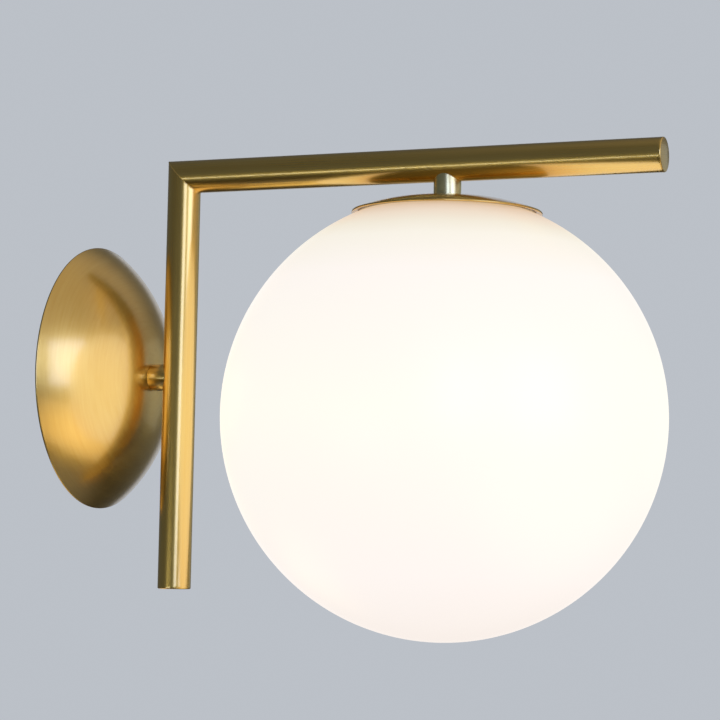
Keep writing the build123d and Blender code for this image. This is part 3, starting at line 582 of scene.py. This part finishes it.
print("finishes so far", len(bpy.data.materials))

# %% [markdown]
# ## The striped lead and the phosphor
#
# The earth lead is green with a yellow stripe. A sine across the lead gives the stripe without a
# texture map. The phosphor on the small emitters is a speckled yellow that glows a little when the
# lamp is on.

# %% Striped lead
earth = Finish("earth_striped")
ex, ey, ez = earth.xyz()
wave = earth.add("ShaderNodeMath", {"operation": "SINE"}, {0: (ex - ey) * 1.9})
stripe = earth.limit(wave, -0.15, 0.1)
earth.set(
    base_color=earth.mix(stripe, (0.09, 0.30, 0.06), (0.82, 0.66, 0.06)),
    roughness=0.3 + earth.noise(ex, ey, ez) * 0.08,
)

# %% Phosphor
phosphor = Finish("phosphor", emission_color=(1.0, 0.78, 0.36), emission_strength=0.8)
hx, hy, hz = phosphor.xyz()
speckle = phosphor.noise(hx / 0.5, hy / 0.5, hz / 0.5)
phosphor.set(
    base_color=phosphor.mix(speckle, (0.86, 0.62, 0.12), (0.95, 0.80, 0.3)),
    roughness=0.35 + phosphor.noise(hx, hy, hz) * 0.1,
)
print("finishes", len(bpy.data.materials))

# %% [markdown]
# ## Finishes on the solids
#
# Where a CAD solid already has the right shape, only its material changes. The pieces that are
# remade further down take their finish from the same table.

# %% Give the CAD nodes their finishes
finish_of = {
    "upright_tube": brass_upright,
    "arm_tube": brass_arm,
    "frame_stub": brass_stub,
    "globe": opal.material,
    "canopy": brass_canopy,
    "globe_cap": brass_cap,
    "upright_end_plug": brass_end_upright,
    "arm_end_plug": brass_end_arm,
    "stem": nickel_stem,
    "wall_bracket": zinc,
    "wall_spigot": turned_brass_wall,
    "spigot_nuts": zinc,
    "spigot_washer": zinc,
    "terminal_block": white_plastic,
    "terminal_inserts": stamped_brass,
    "terminal_screws": zinc,
    "block_screw": zinc,
    "earth_screw": zinc,
    "earth_tag": stamped_brass,
    "earth_wire": earth.material,
    "live_wire": live_brown,
    "neutral_wire": neutral_blue,
    "stub_grub_screw": spring_steel,
    "arm_saddle_nut": stamped_brass,
    "stem_nipple": zinc,
    "cap_gasket": silicone,
    "gallery_plate": zinc,
    "leaf_springs": spring_steel,
    "spring_rivets": zinc,
    "nipple_washer": zinc,
    "nipple_nut": zinc,
    "holder_cap": holder_plastic,
    "holder_body": holder_plastic,
    "screw_shell": turned_brass_lamp,
    "centre_contact": stamped_brass,
    "holder_terminals": stamped_brass,
    "holder_screws": zinc,
    "globe_collar": zinc,
    "bulb_tip_contact": cap_nickel,
    "bulb_insulator": black_glaze,
    "bulb_screw_cap": cap_nickel,
    "bulb_collar": white_plastic,
    "bulb_envelope": diffuser,
    "led_board": board_white,
    "led_emitters": phosphor.material,
    "driver_board": board_green,
}
for node, material in finish_of.items():
    for slot in nodes[node].material_slots:
        slot.material = material
unfinished = sorted(set(nodes) - set(finish_of))
print("CAD nodes with a finish:", len(finish_of), "without:", unfinished)

# %% [markdown]
# ## Putting a piece in
#
# Each finished piece rides on a body of the frame, so that it moves with the joints, and the CAD
# node that it stands in for, if any, is hidden. The bodies are read from the frame's own record,
# so they can't differ from it.

# %% Put a piece in
record = frame["record"]
body_of = {
    node: body for body, members in record["behaviour"]["bodies"].items() for node in members
}


def put(piece, node, material=None, stands_in=True, angle=35):
    """Finishes a piece: smooth shading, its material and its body."""
    smooth(piece, angle)
    piece.data.materials.clear()
    piece.data.materials.append(material or finish_of[node])
    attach(piece, body_of[node])
    if stands_in:
        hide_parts(node)
    triangles = sum(len(face.vertices) - 2 for face in piece.data.polygons)
    print(f"{piece.name:24} {triangles:7} triangles, on {body_of[node]}")


# %% [markdown]
# ## The canopy
#
# The canopy is spun from sheet: a shallow dome with a small flat top and a rolled edge. The roll
# stiffens the sheet and shows as a thin bright line round the back. A ball could be squashed into
# the dome, but an outline keeps the true arc and the sheet's thickness. It is one arc for the
# outside, a bead for the roll and one arc for the inside. The dome's arc is the one that passes
# through the edge of the flat and through the start of the roll.

# %% Canopy
CANOPY_RADIUS = 62.0
CANOPY_FLAT = 6.6
CANOPY_BORE = 5.15
CANOPY_SHEET = 1.0
CANOPY_BEAD = 0.7
EDGE_HEIGHT = 1.0
ROLL_HEIGHT = 1.9
canopy_top = -span("canopy", "y")[0]
roll_centre = (CANOPY_RADIUS - CANOPY_BEAD, EDGE_HEIGHT + CANOPY_BEAD)
reach, rise = CANOPY_RADIUS - CANOPY_FLAT, canopy_top - ROLL_HEIGHT
dome_radius = (reach**2 + rise**2) / (2 * rise)
dome_centre = (CANOPY_FLAT, canopy_top - dome_radius)
rim_angle = math.degrees(math.asin((ROLL_HEIGHT - dome_centre[1]) / dome_radius))
canopy = lathe(
    "canopy_spun",
    [(CANOPY_BORE, canopy_top)]
    + arc(dome_centre, dome_radius, 90.0, rim_angle, 44)
    + arc(roll_centre, CANOPY_BEAD, rim_angle - 8, -150.0, 12)
    + arc(dome_centre, dome_radius - CANOPY_SHEET, rim_angle + 0.3, 90.0, 44)
    + [(CANOPY_BORE, canopy_top - CANOPY_SHEET)],
    CANOPY_AXIS,
    steps=160,
)
put(canopy, "canopy")

# %% [markdown]
# ## The mitre
#
# The tubes meet at 45 degrees and are brazed. The joint is dressed flush, but a thin line stays
# where the two brushed directions meet. A line could be painted on the tubes, but a real ring of
# braze also catches the light. It is a torus, stretched to the mitre's oval and turned to 45
# degrees, so that it lies in the skin of both tubes.

# %% Braze line
BRAZE_RADIUS = 7.62
BRAZE_SECTION = 0.28
INTO_CORNER = 0.12
select_only()
bpy.ops.mesh.primitive_torus_add(
    major_segments=128,
    minor_segments=12,
    major_radius=BRAZE_RADIUS * MM,
    minor_radius=BRAZE_SECTION * MM,
)
braze = bpy.context.object
braze.name = "mitre_braze"
bpy.ops.object.mode_set(mode="EDIT")
bpy.ops.mesh.select_all(action="SELECT")
bpy.ops.transform.resize(value=(1, math.sqrt(2), 1))
bpy.ops.object.mode_set(mode="OBJECT")
corner = Vector((0, -UPRIGHT_REACH - INTO_CORNER, ARM_HEIGHT - INTO_CORNER)) * MM
place(braze, Matrix.Translation(corner) @ Matrix.Rotation(math.radians(45), 4, "X"))
put(braze, "upright_tube", brass_end_upright, stands_in=False)

# %% [markdown]
# ## The end plugs
#
# A turned disc closes each tube. Its rim is rounded, so it catches the light as a thin ring, and
# behind the disc a plug goes into the tube. A bevel on a cylinder would round the rim too, but the
# outline holds the disc, the rim and the plug at once.


# %% End plugs
def end_plug(name, matrix):
    """A disc with a rounded rim and the plug behind it."""
    plug_radius, plug_end, disc, rim = 6.55, 7.5, 1.5, 0.55
    return lathe(
        name,
        [(0, plug_end), (plug_radius, plug_end), (plug_radius, disc), (TUBE_RADIUS, disc)]
        + arc((TUBE_RADIUS - rim, rim), rim, 0.0, -90.0, 5)
        + [(0, 0)],
        matrix,
    )


foot = Vector((0, -UPRIGHT_REACH, span("upright_end_plug", "z")[0])) * MM
put(end_plug("upright_plug_turned", Matrix.Translation(foot)), "upright_end_plug")
tip = Vector((0, span("arm_end_plug", "y")[0], ARM_HEIGHT)) * MM
facing_out = Matrix.Rotation(math.radians(-90), 4, "X")
put(end_plug("arm_plug_turned", Matrix.Translation(tip) @ facing_out), "arm_end_plug")

# %% [markdown]
# ## The stem
#
# A short pale sleeve joins the arm and the cap. Its top is coped, cut to the round of the arm, and
# its edges are broken, which gives the small bright lines at the top. Moving the top's corners by
# sums could follow the arm, but a cut is what the workshop does. So the cope is a boolean with a
# cylinder of the arm's size, and the bevel comes after it.

# %% Stem
STEM_RADIUS = 6.25
NIPPLE_BORE = 4.05
COPE_CLEARANCE = 0.05
stem_foot, stem_top = span("stem", "z")
uncut_top = stem_top + 2.0
stem = lathe(
    "stem_coped",
    [
        (NIPPLE_BORE, stem_foot),
        (STEM_RADIUS, stem_foot),
        (STEM_RADIUS, uncut_top),
        (NIPPLE_BORE, uncut_top),
    ],
)
select_only()
bpy.ops.mesh.primitive_cylinder_add(
    vertices=160, radius=(TUBE_RADIUS + COPE_CLEARANCE) * MM, depth=40 * MM
)
cope = bpy.context.object
over_stem = Vector((0, -GLOBE_REACH, ARM_HEIGHT)) * MM
place(cope, Matrix.Translation(over_stem) @ Matrix.Rotation(math.radians(90), 4, "X"))
cut = stem.modifiers.new("cope", "BOOLEAN")
cut.object = cope
cut.operation = "DIFFERENCE"
cut.solver = "EXACT"
apply(stem, cut)
bpy.data.objects.remove(cope)
ease(stem, 0.35, segments=3)
put(stem, "stem")

# %% [markdown]
# ## The cap
#
# The thin cap over the globe is spun too: a flat that the stem stands on, a very shallow dome and a
# small rolled edge that just clears the glass. It is made as the canopy is, with a flatter arc and
# a smaller bead.

# %% Cap
CAP_RADIUS = 43.2
CAP_FLAT = 9.0
CAP_SHEET = 0.8
CAP_BEAD = 0.5
CAP_DROP = 6.45
BEAD_DROP = 6.9
cap_top = span("globe_cap", "z")[1]
bead_centre = (CAP_RADIUS - CAP_BEAD, cap_top - BEAD_DROP)
cap_reach = CAP_RADIUS - CAP_FLAT - 0.2
cap_curve = (cap_reach**2 + CAP_DROP**2) / (2 * CAP_DROP)
cap_centre = (CAP_FLAT, cap_top - cap_curve)
cap_angle = math.degrees(math.acos(cap_reach / cap_curve))
cap = lathe(
    "cap_spun",
    [(NIPPLE_BORE, cap_top)]
    + arc(cap_centre, cap_curve, 90.0, cap_angle, 26)
    + arc(bead_centre, CAP_BEAD, 55.0, -150.0, 8)
    + arc(cap_centre, cap_curve - CAP_SHEET, cap_angle + 1.0, 90.0, 22)
    + [(NIPPLE_BORE, cap_top - CAP_SHEET)],
    steps=160,
)
put(cap, "globe_cap")

# %% [markdown]
# ## The globe
#
# A ball that is blown into a mould has one even wall. A sphere with its top cut off and a Solidify
# modifier would come close, but its mouth would have square edges. So it is turned from two arcs,
# the outside and the inside, joined by the fire-polished edge of the mouth.

# %% Globe
GLASS = 3.0
MOUTH_RADIUS = 37.5
INNER_RADIUS = GLOBE_RADIUS - GLASS
lip_radius = MOUTH_RADIUS + GLASS / 2
mouth_angle = math.degrees(math.acos(MOUTH_RADIUS / GLOBE_RADIUS))
inner_mouth = math.degrees(math.acos(MOUTH_RADIUS / INNER_RADIUS))
lip_height = math.sqrt((GLOBE_RADIUS - GLASS / 2) ** 2 - lip_radius**2)
globe = lathe(
    "globe_blown",
    arc((0, globe_middle), GLOBE_RADIUS, -90.0, mouth_angle - 0.9, 84)
    + arc((lip_radius, globe_middle + lip_height), GLASS / 2 * 0.98, 55.0, 185.0, 6)
    + arc((0, globe_middle), INNER_RADIUS, inner_mouth - 1.2, -90.0, 60),
    steps=192,
)
put(globe, "globe", angle=60)

# %% [markdown]
# ## Pressed and moulded pieces
#
# Sheet metal that is cut by a press has a rounded edge on one side and a small burr on the other,
# and a moulding has no sharp edge at all. These pieces could be modelled again, but their solids
# already have the right form. So each is a copy of its solid, merged and cleared of flat seams,
# with every edge eased by a few tenths of a millimetre.


# %% Eased copies
def eased_copy(node, width):
    """A copy of a CAD node's mesh with its edges rounded."""
    piece = bpy.data.objects.new(node + "_eased", nodes[node].data.copy())
    bpy.context.scene.collection.objects.link(piece)
    select_only(piece)
    bpy.ops.object.mode_set(mode="EDIT")
    bpy.ops.mesh.select_all(action="SELECT")
    bpy.ops.mesh.remove_doubles(threshold=1e-6)
    bpy.ops.mesh.customdata_custom_splitnormals_clear()
    bpy.ops.mesh.dissolve_limited(angle_limit=math.radians(1))
    bpy.ops.object.mode_set(mode="OBJECT")
    ease(piece, width, angle=40)
    return piece


eased_by = {
    "wall_bracket": 0.3,
    "terminal_block": 0.45,
    "earth_tag": 0.12,
    "gallery_plate": 0.25,
    "leaf_springs": 0.12,
    "spring_rivets": 0.35,
    "spigot_washer": 0.15,
    "nipple_washer": 0.2,
    "centre_contact": 0.1,
    "holder_terminals": 0.3,
    "globe_collar": 0.2,
    "led_emitters": 0.12,
    "driver_board": 0.1,
    "spigot_nuts": 0.3,
    "nipple_nut": 0.3,
    "terminal_screws": 0.1,
    "block_screw": 0.12,
    "earth_screw": 0.15,
    "stub_grub_screw": 0.1,
    "holder_screws": 0.12,
    "arm_saddle_nut": 0.2,
    "holder_cap": 0.4,
    "holder_body": 0.4,
    "frame_stub": 0.2,
    "cap_gasket": 0.2,
    "bulb_collar": 0.3,
}
for node, width in eased_by.items():
    put(eased_copy(node, width), node)

# %% [markdown]
# ## The air of the studio
#
# The light stands in a plain studio: a pale background, and dimmer air on the camera's side, so
# that the metal has something dark to show beside the bright. A panoramic picture could light it,
# but then the brass would mirror that picture. The colour depends on the direction alone: dark
# below, warmer overhead on the side of the arm, and pale in the cone that lies behind the light.

# %% World
DIM_AIR = (0.082, 0.090, 0.088)
WARM_OVERHEAD = (0.42, 0.37, 0.29)
DARK_BELOW = (0.025, 0.024, 0.02)
PALE_BEHIND = (0.50, 0.53, 0.575)
world = bpy.data.worlds.new("studio_air")
bpy.context.scene.world = world
world.use_nodes = True
air = Tree(world.node_tree)
direction = air.add("ShaderNodeTexCoord", out="Generated")
air_y, air_z = air.split(direction)[1:]
away = air.add(
    "ShaderNodeVectorMath", {"operation": "DOT_PRODUCT"}, {0: direction, 1: -back}, out="Value"
)
overhead = air.limit(air_z - air_y * 1.2, 0.45, 1.3)
air_color = air.mix(overhead, DIM_AIR, WARM_OVERHEAD)
air_color = air.mix(air.limit(air_z, -0.65, -0.1), DARK_BELOW, air_color)
air_color = air.mix(air.limit(away, 0.90, 0.968), air_color, PALE_BEHIND)
background = world.node_tree.nodes["Background"]
air.give(background.inputs["Color"], air_color)
background.inputs["Strength"].default_value = 1.0
print("air nodes", len(world.node_tree.nodes))

# %% [markdown]
# ## The floor
#
# A pale disc lies well below the light and fades out towards its edge, so that no line shows where
# it ends.

# %% Floor
FLOOR_RADIUS = 2.0
FLOOR_LEVEL = -0.42
FADE_FROM, FADE_TO = 120.0, 480.0
select_only()
bpy.ops.mesh.primitive_circle_add(
    vertices=96, radius=FLOOR_RADIUS, fill_type="NGON", location=(0, 0, FLOOR_LEVEL)
)
floor = bpy.context.object
floor.name = "floor"
pale_floor = Finish("pale_floor", base_color=(0.46, 0.47, 0.49), roughness=0.9)
fx, fy = pale_floor.xyz()[:2]
fade = pale_floor.limit((fx * fx + fy * fy) ** 0.5, FADE_FROM, FADE_TO)
pale_floor.set(alpha=1 - fade)
floor.data.materials.append(pale_floor.material)
print("floor at", FLOOR_LEVEL, "m")

# %% [markdown]
# ## The studio lamps
#
# Brass shows what stands round it, so each panel is placed by what it does on the metal. Two cool
# window panels make the cream band on the upright and the pale patch on the canopy. A low strip
# draws the line along the arm, a weak panel lifts the arm's end, and two warm cards fill the lower
# left of the canopy and the underside of the arm. A panel is seen in reflections only. All of
# them face a spot near the upright.

# %% Lamps
AIM = Vector((0, -0.04, 0))
COOL_DAY = (0.49, 0.61, 1.0)
PALE_GREEN = (0.95, 1.0, 0.9)


def softbox(name, azimuth, elevation, distance, width, height, radiance, color):
    """An area lamp that faces AIM from an azimuth and an elevation, in degrees."""
    a, e = math.radians(azimuth), math.radians(elevation)
    out = Vector((math.sin(a) * math.cos(e), -math.cos(a) * math.cos(e), math.sin(e)))
    lamp = bpy.data.lights.new(name, "AREA")
    lamp.shape = "RECTANGLE"
    lamp.size, lamp.size_y = width, height
    lamp.energy = radiance * math.pi * width * height
    lamp.color = color
    box = bpy.data.objects.new(name, lamp)
    bpy.context.scene.collection.objects.link(box)
    box.location = AIM + out * distance
    box.rotation_euler = out.to_track_quat("Z", "Y").to_euler()
    box.visible_camera = False
    return box


softbox("window_near", -59, 8.6, 2.0, 0.66, 1.09, 2.9, COOL_DAY)
softbox("window_far", -21, 8.6, 2.0, 1.1, 1.09, 2.5, COOL_DAY)
softbox("strip", -107, -11, 1.8, 0.9, 0.12, 3.0, PALE_GREEN)
card = softbox("floor_card", -2, -36, 0.6, 1.1, 0.34, 0.45, (1.0, 0.80, 0.45))
card.data.spread = math.radians(110)
softbox("under_card", 162, -61, 0.33, 0.24, 0.16, 0.85, (1.0, 0.74, 0.25))
softbox("side_fill", 66, 2, 2.2, 0.7, 0.9, 0.24, (0.95, 1.0, 0.85))
print("studio lamps", len(bpy.data.lights))

# %% [markdown]
# ## The lamp's own light
#
# The globe lights what stands near it. Its glowing skin is held just below white, so that its
# shading doesn't clip, and that is less light than the real globe gives. So a lamp as large as the
# globe shines from its centre, and it goes down with the globe when the globe is taken off.

# %% Glow
GLOW_RADIUS = 0.1004
GLOW_RADIANCE = 1.3
glow_lamp = bpy.data.lights.new("globe_glow", "POINT")
glow_lamp.shadow_soft_size = GLOW_RADIUS
glow_lamp.energy = GLOW_RADIANCE * math.pi * 4 * math.pi * GLOW_RADIUS**2
glow_lamp.color = (1.0, 0.92, 0.76)
glow_object = bpy.data.objects.new("globe_glow", glow_lamp)
bpy.context.scene.collection.objects.link(glow_object)
glow_object.location = (0, -GLOBE_REACH * MM, globe_middle * MM)
glow_object.visible_camera = False
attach(glow_object, "globe")
bpy.context.scene.view_settings.view_transform = "Standard"
print("glow", round(glow_lamp.energy, 4), "W")
